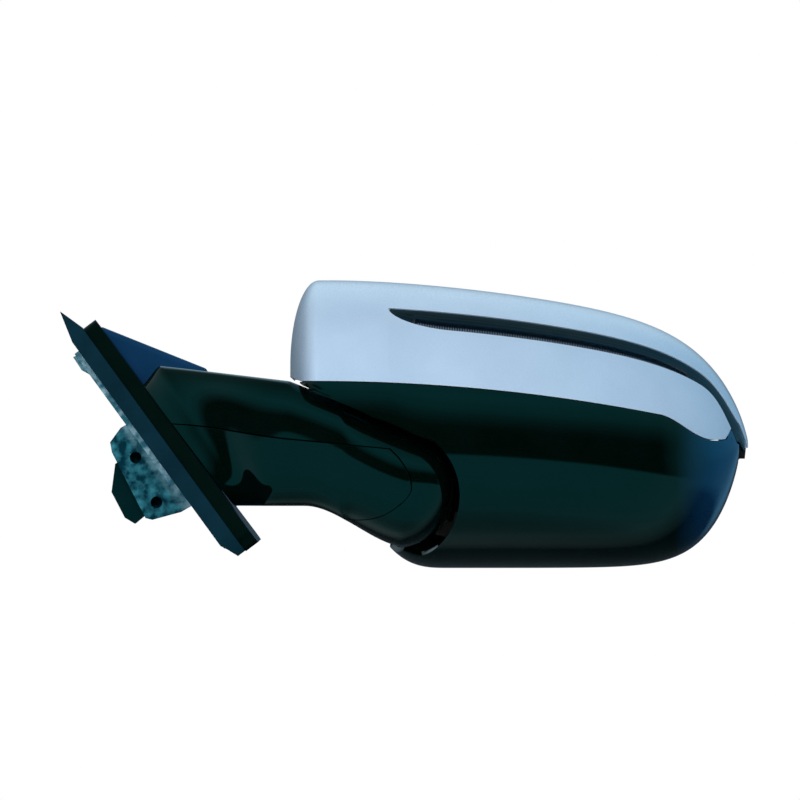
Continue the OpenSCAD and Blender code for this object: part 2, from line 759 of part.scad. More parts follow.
function arm_grid(off) =
    [for (r = [0:arm_round + arm_under - 1]) [for (k = [0:arm_cols])
        let (x = arm_col_x(r, k, 0)) arm_pt(x, arm_phi(x, r, 0), off)]];
function under_grid(off) =
    [for (r = [arm_round:arm_round + arm_under]) [for (k = [0:arm_split])
        let (x = arm_col_x(r, k, seam_gap))
        arm_pt(x, r == arm_round ? 270 + 0.9 : arm_phi(x, r, 0.9), off)]];

module arm_cover() {
    keep = function(r, c) r < arm_round || c >= arm_split;
    color([0.03, 0.11, 0.14])
        difference() {
            sheet(arm_grid(0), arm_grid(arm_wall), keep, wrap = true, pole = true);
            on_pivot()
                cylinder(h = 60, r = arm_hole_r);
        }
}

module arm_lower_cover() {
    color([0.02, 0.1, 0.12])
        sheet(under_grid(0), under_grid(arm_wall), function(r, c) true);
}

/* base on the door */
gasket_pts = [[-60, -82], [62, -82], [58, 89]];
flange_pts = [[-59, -82.5], [60, -82.5], [56, 82]];
tongue_s = 65;
gasket_lip = 7;

module gasket_shape() {
    offset(r = 3)
        offset(delta = -3)
            polygon(gasket_pts);
}

module flange_shape(inset = 0) {
    offset(r = 7 - inset)
        offset(delta = -7)
            polygon(flange_pts);
}

module plate_shape(inset = 0) {
    offset(r = 3)
        offset(delta = -gasket_lip - 3 - inset)
            polygon(gasket_pts);
}

module door_gasket() {
    color([0.05, 0.15, 0.2])
        intersection() {
            door_slab(0, gasket_t)
                difference() {
                    gasket_shape();
                    plate_shape();
                }
            on_door()
                rotate([90, 0, 0])
                    linear_extrude(height = 200, center = true)
                        polygon([[-1, -70], [2, -76], [4, -81], [gasket_t + 1, -100], [gasket_t + 1, tongue_s],
                                 [gasket_t * 0.5, tongue_s + 18], [-1, tongue_s - 4]]);
        }
}

bolt_spots = [[-2, -54], [38, -54]];
beam_root = [[-14, -44], [-9, -44], [5.5, -20], [-0.5, -20]];
cover_spots = [[16, -56], [40, -20]];

module base_bracket() {
    lug_y = 30;
    lug_t = 4.5;
    lug_deep = 12;
    lug_spots = [for (s = [-1, 1]) [-12.7, -19.1] + s * lug_hole_pitch / 2 * [sin(12.1), cos(12.1)]];
    color([0.45, 0.55, 0.6])
        difference() {
            union() {
                door_slab(gasket_t - 3, gasket_t)
                    plate_shape(0.5);
                door_slab(0.5, gasket_t)
                    difference() {
                        plate_shape(0.5);
                        plate_shape(4);
                    }
                door_slab(-3, 0.5 + eps)
                    intersection() {
                        difference() {
                            plate_shape(0.5);
                            plate_shape(4);
                        }
                        polygon([[-30, -60], [60, 80], [60, 60], [-10, -50]]);
                    }
                on_door()
                    translate([0, lug_y + lug_t, 0])
                        rotate([90, 0, 0])
                            linear_extrude(height = lug_t)
                                polygon([[gasket_t, 10], [-6.7, 11.8], [-16, 9], [-18.5, 4], [-25.4, -35.5],
                                         [-23, -38.5], [-8, -44.5], [0, -45.5], [gasket_t, -45.5]]);
                on_door()
                    translate([0, 51, 0])
                        rotate([90, 0, 0])
                            linear_extrude(height = 4)
                                polygon([[1, 44], [-3, 45], [-5.2, 50], [-4.6, 58.5], [1, 57]]);
                on_door()
                    for (p = lug_spots)
                        translate([p[0], lug_y + lug_t - 1, p[1]])
                            rotate([-90, 0, 0])
                                cylinder(h = lug_deep - lug_t + 3, d = lug_hole_d + 3.2);
                on_door()
                    for (p = bolt_spots)
                        translate([0.5, p[0], p[1]])
                            rotate([0, 90, 0])
                                cylinder(h = gasket_t + 1.5, d = bolt_d + 7);
                hull() {
                    door_slab(gasket_t - 2, gasket_t - 1)
                        polygon(beam_root);
                    translate([82, -35, -17])
                        cube([8, 14, 25]);
                }
                hull() {
                    translate([82.7, -34.3, -16.3])
                        cube([6.6, 12.6, 23.6]);
                    translate([106, -32, -27])
                        cube([6, 16, 29]);
                }
                hull() {
                    translate([106.7, -31.3, -26.3])
                        cube([4.6, 14.6, 27.6]);
                    on_pivot()
                        translate([0, 0, post_low])
                            cylinder(h = 8 - post_low, r = boss_r - 1);
                }
                on_pivot()
                    translate([0, 0, post_low - 2])
                        cylinder(h = boss_top - post_low + 2, r = boss_r);
            }
            on_pivot()
                translate([0, 0, post_low - 0.1])
                    cylinder(h = 100, r = post_d / 2 + 0.05);
            on_door()
                for (p = bolt_spots)
                    translate([0, p[0], p[1]])
                        rotate([0, 90, 0])
                            cylinder(h = gasket_t - 0.5, d = bolt_d);
            on_door()
                for (p = lug_spots)
                    translate([p[0], lug_y - 1, p[1]])
                        rotate([-90, 0, 0])
                            cylinder(h = lug_deep + 1, d = lug_hole_d);
            on_door()
                for (p = cover_spots)
                    translate([0, p[0], p[1]])
                        rotate([0, 90, 0])
                            cylinder(h = gasket_t + 2, r = screw_r + 0.4);
        }
}

module harness_connector() {
    color([0.02, 0.1, 0.12])
        on_door()
            difference() {
                translate([0, 58, 0])
                    rotate([90, 0, 0])
                        linear_extrude(height = 23.2)
                            polygon([[-21, -2], [-31.8, -13], [-34.4, -28.5], [-32, -34.5],
                                     [-22, -34], [-19.5, -28], [-15, -10], [-15, -2]]);
                translate([-29.5, 46, -28])
                    cube([8.5, 20, 14]);
            }
}

module cover_screws() {
    color([0.7, 0.72, 0.74])
        on_door()
            for (p = cover_spots)
                translate([gasket_t - 3 - 2.4 - 0.1, p[0], p[1]])
                    rotate([0, 90, 0]) {
                        cylinder(h = 2.4, r = 3.6);
                        cylinder(h = 11, r = screw_r);
                    }
}

module sail_cover() {
    w0 = gasket_t + stack_gap;
    w1 = w0 + flange_t;
    color([0.03, 0.12, 0.16])
        difference() {
            union() {
                difference() {
                    door_slab(w0, w1)
                        flange_shape();
                    door_slab(w0 - 1, w1 - cover_wall)
                        flange_shape(cover_wall);
                }
                on_door()
                    for (p = cover_spots)
                        translate([w0, p[0], p[1]])
                            rotate([0, 90, 0])
                                cylinder(h = flange_t - 1, r = 4.5);
                hull() {
                    on_door()
                        for (p = [[w1 - 1, 47, 60], [w1 - 1, 37, 24], [w1 - 1, 38, -58], [w1 - 1, 52, -58],
                                  [w1 + 30, 24, 9], [w1 + 29, 33, 7], [w1 + 24, 26, -30], [w1 + 22, 36, -30]])
                            translate(p)
                                sphere(r = 2.5, $fn = 20);
                }
            }
            door_slab(w0 - 2, w1 + 1)
                offset(delta = 5)
                    polygon(beam_root);
            on_door()
                for (p = cover_spots)
                    translate([w0 - 1, p[0], p[1]])
                        rotate([0, 90, 0])
                            cylinder(h = 7, r = screw_r + 0.05);
        }
}

base_bracket();
door_gasket();
sail_cover();
arm_cover();
arm_lower_cover();
harness_connector();
cover_screws();
pivot_post();
detent_ring();
pivot_spring();
spring_cup();
spring_clip();
head_frame();
upper_cap();
lower_housing();
rear_bezel();
signal_lens();
light_guide();
signal_reflector();
signal_board();
fold_drive();
fold_motor();
thrust_washer();
actuator_case();
frame_screws();
gimbal_ring();
glass_holder();
heater_pad();
mirror_glass();
heater_terminals();
tilt_plunger();
pan_plunger();
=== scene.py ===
import math

import bpy
import numpy as np
from mathutils import Matrix, Vector


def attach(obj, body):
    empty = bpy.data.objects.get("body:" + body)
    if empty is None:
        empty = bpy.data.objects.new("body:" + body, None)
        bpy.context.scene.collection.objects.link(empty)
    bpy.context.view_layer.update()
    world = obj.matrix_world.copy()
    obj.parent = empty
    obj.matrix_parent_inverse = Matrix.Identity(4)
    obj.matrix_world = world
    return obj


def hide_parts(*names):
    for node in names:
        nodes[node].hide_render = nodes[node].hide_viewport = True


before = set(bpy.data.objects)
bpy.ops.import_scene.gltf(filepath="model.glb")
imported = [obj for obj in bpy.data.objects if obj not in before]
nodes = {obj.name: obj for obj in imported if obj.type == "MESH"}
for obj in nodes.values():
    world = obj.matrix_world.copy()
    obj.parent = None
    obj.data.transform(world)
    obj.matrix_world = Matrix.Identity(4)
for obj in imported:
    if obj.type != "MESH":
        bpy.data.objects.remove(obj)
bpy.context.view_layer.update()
scene = bpy.context.scene
scene.view_settings.view_transform = "Standard"

# Sizes are in millimetres and angles in degrees, as in the CAD model; MM turns them into metres.
MM = 0.001
TOP_PHI, BOTTOM_PHI = 90.0, -90.0

# Fold pivot.
PIVOT_X, PIVOT_Z, FOLD_LEAN = 139.3, -17.3, 12

# Head: its box, its wall, and the curves of its outline from the front. CROWN_FALL and CHIN_RISE are what
# fall() takes, SEC_Q is the power of the sections and HEAD_CORE the least share of them that an inset leaves.
HEAD_X, HEAD_W, HEAD_DEPTH = 79.5, 250.2, 93
HEAD_TOP, HEAD_BOTTOM = 85.7, -71
RIM_Y, WALL, SEAM = 48, 2.5, 0.5
TIP_X, TIP_Z = HEAD_X + HEAD_W, -7.7
END_R, END_DROP = 15.6, 46.8
CROWN_X, CROWN_FALL = HEAD_X + 24, (0.35, 1.69, 8.74, 0.68)
CHIN_X, CHIN_Z, CHIN_RISE = TIP_X - 6, -11.5, (0.06, 4, 8.9, 0.8)
HEEL_X, HEEL_UP, HEEL_END, HEEL_RUN = HEAD_X + 90, 12, PIVOT_X + 26, 32
NOSE_X, NOSE_POWER = HEAD_X + 70, 2.2
SEC_Q, HEAD_CORE = 2 / 2.4, 0.4
DEG_PER_RAD = 57.3

# Cap: its lower edge, the dip before the tip, and the tail round the tip.
EDGE_Z, EDGE_FALL, EDGE_IN, EDGE_OUT = 30.8, 18, 15, 65
CORNER_UP, CORNER_IN, CORNER_RUN = 2.2, 6, 5
TAIL_X, TAIL_GAP, TAIL_RUN = TIP_X - 11, 2.5, 2.5
DIP_X, DIP, DIP_END = TIP_X - 50, 8, TAIL_X - 10
CAP_END = TIP_X - 1
UP_ROWS, LOW_ROWS = 26, 18
ROOT_COLS, NOSE_COLS, MAIN_COLS, TAIL_COLS = 46, 26, 90, 16

# Lens in the slit and the light guide behind it. LENS_HIGH and LENS_DEEP are shares of the way from the
# crown down to the cap's edge, GUIDE_HIGH and GUIDE_LOW shares of the lens's height.
LENS_X, LENS_NOSE, LENS_END = 133, 34, TIP_X - 2.6
LENS_T, LENS_SINK, LENS_START = 2.2, 0.4, 0.6
LENS_HIGH, LENS_DEEP, LENS_TIP, NOSE_BEND = 0.505, 0.66, 0.07, 1.6
SWEEP_X, SWEEP_TOP, SWEEP_LOW = TIP_X - 30, 50, 100
GUIDE_X, GUIDE_END, GUIDE_PAST = LENS_X + 14, TIP_X - 34, 1
GUIDE_T, GUIDE_GAP, GUIDE_HIGH, GUIDE_LOW = 3, 0.3, 0.3, 0.95
RIB, RIB_DEEP, RIB_STEP = 1.35, 0.35, 0.27
NOSE_STEPS, MAIN_STEPS, SWEEP_STEPS = 30, 70, 30
OPAQUE_SHARE = 0.6

# Arm: the round end about the pivot, the neck, the root at the door, and the crease.
THUMB_Z, THUMB_A, THUMB_UP, THUMB_LOW = -26, 30.2, 31, 33
THUMB_BACK, THUMB_BLUNT = 24, 0.4
JOIN_X, JOIN_Z = PIVOT_X + 12.2, 2.4
ARM_FRONT, ARM_BACK, ARM_FLOOR = -40, -9, -36.4
ARM_WALL, ARM_CORE, ARM_END = 2.8, 0.5, PIVOT_X + THUMB_A - 0.2
ARM_SLOPE, BEND_X, NECK_IN, NECK_OUT = 0.395, 80, 8, 3
PROW_X, ROOT_FRONT, ROOT_RAKE = 9.2, -33, 36
ROOT_TOP_X, ROOT_TOP_Z, ROOT_LOW_X = 0.4, 28.7, 50.2
ROOT_SLOPE, ROOT_RISE = 0.12, 1.33
SWELL, SWELL_X, SWELL_RUN = 10, 60, 50
CREASE_X, CREASE_Z, CREASE_SLOPE = 10, 7, 0.1
CREASE_LOW, CREASE_HIGH = -0.9, 0.6
ARM_HOLE_R, ARM_HOLE_H = 20, 60

# Rows round the arm, columns along it, and the oval seam between its two covers.
ARM_ROUND, ARM_UNDER, ARM_SPLIT, ARM_COLS, FINER = 17, 10, 19, 26, 4
SPLIT_ROW, UNDER_PHI, UNDER_GAP = 9, 270.0, 0.9
OVAL_TURN, OVAL_POWER = 0.27, 0.7
OVAL_FOOT, OVAL_OUT = 5.3, 11.8
OVAL_HEAD, OVAL_REACH = 30.3, 36.8

# Housing: the edge of its pocket round the arm's end.
POCKET_GAP = 2.6
UP_GAP, SIDE_GAP = 0.4 * POCKET_GAP, 0.7 * POCKET_GAP
BROW_LOW, BROW_HIGH, BROW_Z, BROW_RUN = -0.4, 0.1, 24.5, 1.5
BROW_X, BROW_SLOPE, THROAT_X = HEAD_X + 6, 0.38, PIVOT_X + 2
FOOT_X, FOOT_PHI = PIVOT_X - 5.5, -66
HOUSE_END = CHIN_X - 0.5
HOUSE_ROWS, HOUSE_COLS, ROW_BEND = 60, 130, 1.25

# Rear bezel: the opening, its cut corner, and the profile from the rim (0) to the opening (1).
GLASS_X, GLASS_Z = 212, 3
OPEN_W, OPEN_H, OPEN_TAPER, OPEN_POWER, OPEN_LEAN = 101, 60, 0.16, 3, 0.05
CUT_AT, CUT_SHARE, CUT_BLEND = 204, 0.73, 8
BEZEL_Y, SKIRT_Y, SKIRT_T, FIT = RIM_Y + 8, 31, 2, 0.3
BEZEL_PROFILE = [(0, RIM_Y + FIT), (0.05, RIM_Y + 3.4), (0.12, RIM_Y + 5.2), (0.25, RIM_Y + 6.5),
                 (0.4, BEZEL_Y - 0.8), (0.6, BEZEL_Y - 0.2), (0.78, BEZEL_Y), (0.93, BEZEL_Y - 0.5),
                 (1, BEZEL_Y - 2.2), (1, SKIRT_Y)]
BEZEL_BACK = 0.25
RIM_TOP_END, RIM_LOW_END = TIP_X - 1.2, TIP_X - 2.4
TOE_Z, TOE_UP = 14, 2
RIM_TOP_N, RIM_LOW_N, TOE_N = 120, 72, 48

# Glass: it lies on the rear of the holder and the heater pad.
HOLDER_Y, HOLDER_T, PAD_T, GLASS_FIT = 37.2, 2.4, 0.6, 0.2
GLASS_Y, GLASS_T = HOLDER_Y + HOLDER_T + PAD_T + GLASS_FIT, 2.2
GLASS_GAP, GLASS_INSET, GLASS_STEP = 4.2, 0.6, 1.5


def clamp01(t):
    return np.clip(t, 0.0, 1.0)


def smooth(t):
    c = clamp01(t)
    return c * c * (3 - 2 * c)


def lerp(a, b, t):
    return a + (b - a) * t


def spow(v, p):
    return np.sign(v) * np.abs(v) ** p


def sind(a):
    return np.sin(np.radians(a))


def cosd(a):
    return np.cos(np.radians(a))


# Head skin: the outline from the front, and one point of the moulded surface.
def end_round(x):
    return (1 - clamp01((HEAD_X + END_R - x) / END_R) ** 2) ** 0.5


def fall(u, share, soft, hard, p):
    return share * u ** soft + (1 - share) * (1 - (1 - u ** hard) ** p)


def top_z(x):
    crown = fall(clamp01((x - CROWN_X) / (TIP_X - CROWN_X)), *CROWN_FALL)
    return HEAD_TOP - (HEAD_TOP - TIP_Z) * crown - END_DROP * (1 - end_round(x))


def bottom_z(x):
    chin = fall(clamp01((x - HEEL_X) / (CHIN_X - HEEL_X)), *CHIN_RISE)
    heel = HEEL_UP * clamp01((HEEL_END - x) / HEEL_RUN) ** 3
    return HEAD_BOTTOM + (CHIN_Z - HEAD_BOTTOM) * chin + heel


def mid_z(x):
    return (top_z(x) + bottom_z(x)) / 2


def half_h(x):
    return (top_z(x) - bottom_z(x)) / 2


def depth(x):
    nose = (1 - clamp01((x - NOSE_X) / (TIP_X - NOSE_X)) ** NOSE_POWER) ** 0.5
    return HEAD_DEPTH * end_round(x) * nose


def skin_z(x, phi):
    return mid_z(x) + half_h(x) * spow(sind(phi), SEC_Q)


def skin(x, phi, off=0.0):
    """Point of the head at x and the section's angle phi, off millimetres inside the outer surface."""
    h, d = half_h(x), depth(x)
    hi, di = np.maximum(h - off, HEAD_CORE * h), np.maximum(d - off, HEAD_CORE * d)
    return np.stack([HEAD_X + off + (x - HEAD_X) * (HEAD_W - 2 * off) / HEAD_W,
                     RIM_Y - di * np.maximum(0, cosd(phi)) ** SEC_Q,
                     mid_z(x) + hi * spow(sind(phi), SEC_Q)], -1)


def phi_of(x, z):
    return np.degrees(np.arcsin(spow(np.clip((z - mid_z(x)) / half_h(x), -1, 1), 1 / SEC_Q)))


def gap_phi(x, g):
    return g / half_h(x) * DEG_PER_RAD


def edge_z(x):
    bow = np.maximum(0, (x - HEAD_X - EDGE_IN) / (HEAD_W - EDGE_OUT)) ** 2
    return EDGE_Z - EDGE_FALL * bow + CORNER_UP * clamp01((HEAD_X + CORNER_IN - x) / CORNER_RUN)


def edge_main(x):
    xm = np.minimum(x, DIP_X)
    return phi_of(xm, edge_z(xm))


def sweep_phi(x, share, turn):
    """Angle a share of the way from the crown to the cap's edge, which sweeps down round the tip."""
    t = clamp01((x - SWEEP_X) / (TIP_X - SWEEP_X))
    return TOP_PHI - share * (TOP_PHI - edge_main(np.minimum(x, SWEEP_X))) - turn * t ** 3


def lens_top(x):
    return sweep_phi(x, LENS_HIGH, SWEEP_TOP)


def lens_low(x):
    nose = np.sqrt(1 - (1 - clamp01((x - LENS_X) / LENS_NOSE)) ** 2)
    return lerp(lens_top(x), sweep_phi(x, LENS_DEEP, SWEEP_LOW), np.maximum(LENS_TIP, nose))


def cap_edge(x):
    dip = edge_main(x) - DIP * smooth((x - DIP_X) / (DIP_END - DIP_X))
    tail = lerp(dip, lens_low(x) - TAIL_GAP, smooth((x - TAIL_X + TAIL_RUN) / TAIL_RUN))
    return np.where(x < TAIL_X, tail, lens_low(x))


# Arm skin: the outline from the front, and one point of the arm's surface.
def thumb_g(x):
    return np.sqrt(np.maximum(0, 1 - ((x - PIVOT_X) / THUMB_A) ** 2))


def arm_top(x):
    line = (JOIN_Z + (JOIN_X - np.maximum(x, BEND_X)) * ARM_SLOPE
            + np.maximum(0, BEND_X - x) * ROOT_SLOPE)
    root = ROOT_TOP_Z + (x - ROOT_TOP_X) * ROOT_RISE
    return np.where(x > JOIN_X, THUMB_Z + THUMB_UP * thumb_g(x), np.minimum(line, root))


def arm_low(x):
    drop = smooth((x - BEND_X - NECK_IN) / (PIVOT_X - NECK_OUT - BEND_X))
    return np.where(x > PIVOT_X, THUMB_Z - THUMB_LOW * thumb_g(x),
                    ARM_FLOOR - (THUMB_LOW - THUMB_Z + ARM_FLOOR) * drop)


def arm_yf(x):
    return np.where(x > PIVOT_X, ARM_FRONT * thumb_g(x) ** THUMB_BLUNT,
                    lerp(ROOT_FRONT, ARM_FRONT, smooth((x - PROW_X) / (BEND_X - PROW_X))))


def arm_yr(x):
    neck = ARM_BACK + (THUMB_BACK - ARM_BACK) * thumb_g(x)
    return np.where(x > PIVOT_X, THUMB_BACK * thumb_g(x), neck + SWELL * smooth((SWELL_X - x) / SWELL_RUN))


def arm_pt(xt, phi, off=0.0):
    """Point of the arm at the angle phi of the section that leaves the top line at xt."""
    far = smooth((xt - ROOT_TOP_X) / (BEND_X - ROOT_TOP_X))
    xb = xt + (ROOT_LOW_X - ROOT_TOP_X) * (1 - far)
    zt, zb = arm_top(xt), arm_low(xb)
    hx, hz = (xt - xb) / 2, (zt - zb) / 2
    k = np.maximum(ARM_CORE, 1 - off / np.hypot(hx, hz))
    xm = (xt + xb) / 2
    yc, yh = (arm_yf(xm) + arm_yr(xm)) / 2, (arm_yr(xm) - arm_yf(xm)) / 2
    yk = np.maximum(ARM_CORE, 1 - off / yh)
    s, c = spow(sind(phi), SEC_Q), spow(cosd(phi), SEC_Q)
    return np.stack([xm + hx * k * s - off * smooth((xt - PIVOT_X) / THUMB_A),
                     yc - yh * yk * c + ROOT_RAKE * (1 - far) * (1 + k * s) / 2,
                     (zt + zb) / 2 + hz * k * s], -1)


def crease(x):
    z = CREASE_Z - CREASE_SLOPE * (x - CREASE_X)
    c, h = (arm_top(x) + arm_low(x)) / 2, (arm_top(x) - arm_low(x)) / 2
    return np.degrees(np.arcsin(spow(np.clip((z - c) / h, CREASE_LOW, CREASE_HIGH), 1 / SEC_Q)))


# Mesh helpers.
SHARP, BEVEL_ANGLE, BEVEL_SEGMENTS = 35, 40, 2


def shade(mesh, sharp):
    for p in mesh.polygons:
        p.use_smooth = True
    mesh.set_sharp_from_angle(angle=math.radians(sharp))


def make_object(name, verts, faces, sharp=SHARP):
    mesh = bpy.data.meshes.new(name)
    mesh.from_pydata([tuple(v) for v in np.asarray(verts, float) * MM], [], faces)
    mesh.validate()
    mesh.update()
    obj = bpy.data.objects.new(name, mesh)
    scene.collection.objects.link(obj)
    shade(mesh, sharp)
    return obj


def bevel(obj, width, angle=BEVEL_ANGLE, slot=-1):
    m = obj.modifiers.new("edge", "BEVEL")
    m.material = slot
    m.width, m.segments, m.limit_method = width * MM, BEVEL_SEGMENTS, "ANGLE"
    m.angle_limit = math.radians(angle)
    m.harden_normals = True
    return obj


def cut(obj, cutter):
    m = obj.modifiers.new("cut", "BOOLEAN")
    m.operation, m.object, m.solver = "DIFFERENCE", cutter, "EXACT"
    bpy.context.view_layer.update()
    done = bpy.data.meshes.new_from_object(obj.evaluated_get(bpy.context.evaluated_depsgraph_get()))
    obj.modifiers.clear()
    old, obj.data = obj.data, done
    bpy.data.meshes.remove(old)
    bpy.data.objects.remove(cutter)
    shade(done, SHARP)


def shell(name, outer, inner, keep=None, wrap=False, pole=False, across=None):
    """Closed wall between two point grids. keep(r, c) tells which cells exist, wrap closes the rows to a
    ring, pole closes the last column with one face, and across holds a value for each point."""
    rows, cols = outer.shape[:2]
    cells = rows if wrap else rows - 1
    half = rows * cols
    on = np.ones((cells, cols - 1), bool)
    if keep is not None:
        on = np.array([[bool(keep(r, c)) for c in range(cols - 1)] for r in range(cells)])

    def a(r, c):
        return (r % rows) * cols + c

    def b(r, c):
        return half + a(r, c)

    def has(r, c):
        if c < 0 or c >= cols - 1:
            return False
        if wrap:
            return on[r % cells, c]
        return 0 <= r < cells and on[r, c]

    faces = []
    for r in range(cells):
        for c in range(cols - 1):
            if not on[r, c]:
                continue
            faces.append((a(r, c), a(r + 1, c), a(r + 1, c + 1), a(r, c + 1)))
            faces.append((b(r, c), b(r, c + 1), b(r + 1, c + 1), b(r + 1, c)))
            if not has(r - 1, c):
                faces.append((a(r, c), a(r, c + 1), b(r, c + 1), b(r, c)))
            if not has(r + 1, c):
                faces.append((a(r + 1, c), b(r + 1, c), b(r + 1, c + 1), a(r + 1, c + 1)))
            if not has(r, c - 1):
                faces.append((a(r, c), b(r, c), b(r + 1, c), a(r + 1, c)))
            if not has(r, c + 1) and not (pole and c == cols - 2):
                faces.append((a(r, c + 1), a(r + 1, c + 1), b(r + 1, c + 1), b(r, c + 1)))
    if pole:
        faces.append(tuple(a(r, cols - 1) for r in range(rows)))
        faces.append(tuple(b(r, cols - 1) for r in range(rows - 1, -1, -1)))
    verts = np.concatenate([outer.reshape(-1, 3), inner.reshape(-1, 3)])
    used = sorted({i for f in faces for i in f})
    place = {v: i for i, v in enumerate(used)}
    obj = make_object(name, verts[used], [tuple(place[i] for i in f) for f in faces])
    if across is not None:
        share = obj.data.attributes.new("across", "FLOAT", "POINT")
        share.data.foreach_set("value", across.reshape(-1)[np.array(used) % half])
    return obj


def columns(*parts):
    """Places along X: each part (start, end, steps, bend) adds its steps, spaced by the bend function."""
    out = [parts[0][0]]
    for x0, x1, steps, bend in parts:
        t = np.linspace(0, 1, steps + 1)[1:]
        out += list(x0 + (x1 - x0) * bend(t))
    return np.array(out)


def even(t):
    return t


def nose_start(t):
    return t ** NOSE_BEND


def tight_start(t):
    return 1 - np.cos(t * math.pi / 2)


def tight_end(t):
    return np.sin(t * math.pi / 2)


def tight_ends(t):
    return (1 - np.cos(np.pi * t)) / 2


def piece(obj, body, slot, *stands_for):
    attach(obj, body)
    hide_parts(*stands_for)
    return obj


# Node helpers, for materials and the world.
def put(tree, socket, value):
    if isinstance(value, bpy.types.NodeSocket):
        tree.links.new(value, socket)
    else:
        socket.default_value = value


def ramp_of(tree, factor, stops):
    n = tree.nodes.new("ShaderNodeValToRGB")
    points = n.color_ramp.elements
    while len(points) < len(stops):
        points.new(0.5)
    for point, (position, color) in zip(points, stops):
        point.position = position
        point.color = color
    tree.links.new(factor, n.inputs["Fac"])
    return n.outputs["Color"]


def greys(stops, tint=(1, 1, 1)):
    return [(position, (v * tint[0], v * tint[1], v * tint[2], 1)) for position, v in stops]


def mapped(tree, value, start, end, low=0.0, high=1.0):
    n = tree.nodes.new("ShaderNodeMapRange")
    for name, number in (("From Min", start), ("From Max", end), ("To Min", low), ("To Max", high)):
        n.inputs[name].default_value = number
    tree.links.new(value, n.inputs["Value"])
    return n.outputs["Result"]


def mixed(tree, share, a, b):
    n = tree.nodes.new("ShaderNodeMix")
    n.data_type = "RGBA"
    for name, value in (("Factor", share), ("A", a), ("B", b)):
        put(tree, n.inputs[name], value)
    return n.outputs["Result"]


def dotted(tree, vector, along):
    n = tree.nodes.new("ShaderNodeVectorMath")
    n.operation = "DOT_PRODUCT"
    n.inputs[1].default_value = along
    tree.links.new(vector, n.inputs[0])
    return n.outputs["Value"]


def clamped(tree, operation, a, b):
    n = tree.nodes.new("ShaderNodeMath")
    n.operation, n.use_clamp = operation, True
    put(tree, n.inputs[0], a)
    put(tree, n.inputs[1], b)
    return n.outputs["Value"]


def noise(tree, place, scale, detail):
    n = tree.nodes.new("ShaderNodeTexNoise")
    n.inputs["Scale"].default_value = scale
    n.inputs["Detail"].default_value = detail
    tree.links.new(place, n.inputs["Vector"])
    return n.outputs["Fac"]


def object_place(tree):
    return tree.nodes.new("ShaderNodeTexCoord").outputs["Object"]


# Materials.
TONE_DETAIL, GRAIN_DETAIL = 4, 3
ROUGH_LEAST, ROUGH_MOST = 0.8, 1.2
COAT_ROUGH = 0.03
WAVE_PERIOD = math.pi / 10


def srgb(r, g, b):
    def lin(v):
        v /= 255
        return v / 12.92 if v <= 0.04045 else ((v + 0.055) / 1.055) ** 2.4
    return (lin(r), lin(g), lin(b), 1.0)


def finish_of(name, light, dark, rough, grain, bump, bump_mm, metallic=0.0, coat=0.0, blotch=40.0,
              spread=(0.35, 0.65), specular=0.5, tint=(1, 1, 1), zones=()):
    """Principled material: two tones mixed by a soft noise, a fine grain in the roughness and the bump.
    Each zone (direction, start, end, light, dark) fades to two other tones along a direction."""
    m = bpy.data.materials.new(name)
    m.use_nodes = True
    t = m.node_tree
    p = t.nodes["Principled BSDF"]
    place = object_place(t)
    tone = noise(t, place, blotch, TONE_DETAIL)
    fine = noise(t, place, grain, GRAIN_DETAIL)
    color = ramp_of(t, tone, list(zip(spread, (dark, light))))
    for along, start, end, light2, dark2 in zones:
        other = ramp_of(t, tone, list(zip(spread, (dark2, light2))))
        color = mixed(t, mapped(t, dotted(t, place, along), start * MM, end * MM), color, other)
    lift = t.nodes.new("ShaderNodeBump")
    lift.inputs["Strength"].default_value = bump
    lift.inputs["Distance"].default_value = bump_mm * MM
    gloss = mapped(t, fine, 0.0, 1.0, rough * ROUGH_LEAST, min(1.0, rough * ROUGH_MOST))
    t.links.new(fine, lift.inputs["Height"])
    t.links.new(color, p.inputs["Base Color"])
    t.links.new(gloss, p.inputs["Roughness"])
    t.links.new(lift.outputs["Normal"], p.inputs["Normal"])
    p.inputs["Metallic"].default_value = metallic
    p.inputs["Coat Weight"].default_value = coat
    p.inputs["Coat Roughness"].default_value = COAT_ROUGH
    p.inputs["Specular IOR Level"].default_value = specular
    p.inputs["Specular Tint"].default_value = (*tint, 1)
    return m


def leaned(m, down):
    """Leans the shading normal in height, so that the room's dark band lies higher on a flat front."""
    t = m.node_tree
    face = t.nodes.new("ShaderNodeNewGeometry")
    add, unit = t.nodes.new("ShaderNodeVectorMath"), t.nodes.new("ShaderNodeVectorMath")
    unit.operation = "NORMALIZE"
    add.inputs[1].default_value = (0, 0, down)
    t.links.new(face.outputs["Normal"], add.inputs[0])
    t.links.new(add.outputs["Vector"], unit.inputs[0])
    bump = next(n for n in t.nodes if n.type == "BUMP")
    t.links.new(unit.outputs["Vector"], bump.inputs["Normal"])
    return m


def graded(m, alphas, tones):
    """Lets alpha and tone of a strip change across it, from the upper edge to the lower."""
    t = m.node_tree
    p = t.nodes["Principled BSDF"]
    share = t.nodes.new("ShaderNodeAttribute")
    share.attribute_name = "across"
    t.links.new(ramp_of(t, share.outputs["Fac"], greys(alphas)), p.inputs["Alpha"])
    t.links.new(ramp_of(t, share.outputs["Fac"], tones), p.inputs["Base Color"])
    return m


def rib_shade_stripes(m, pitch, groove_shade):
    """Paints shade into a material in fine upright stripes, one to each rib: painted shade in the grooves."""
    t = m.node_tree
    p = t.nodes["Principled BSDF"]
    tone = p.inputs["Base Color"].links[0].from_socket
    wave = t.nodes.new("ShaderNodeTexWave")
    wave.bands_direction = "X"
    wave.inputs["Scale"].default_value = WAVE_PERIOD / (pitch * MM)
    t.links.new(object_place(t), wave.inputs["Vector"])
    t.links.new(mixed(t, wave.outputs["Fac"], groove_shade, tone), p.inputs["Base Color"])
    return m


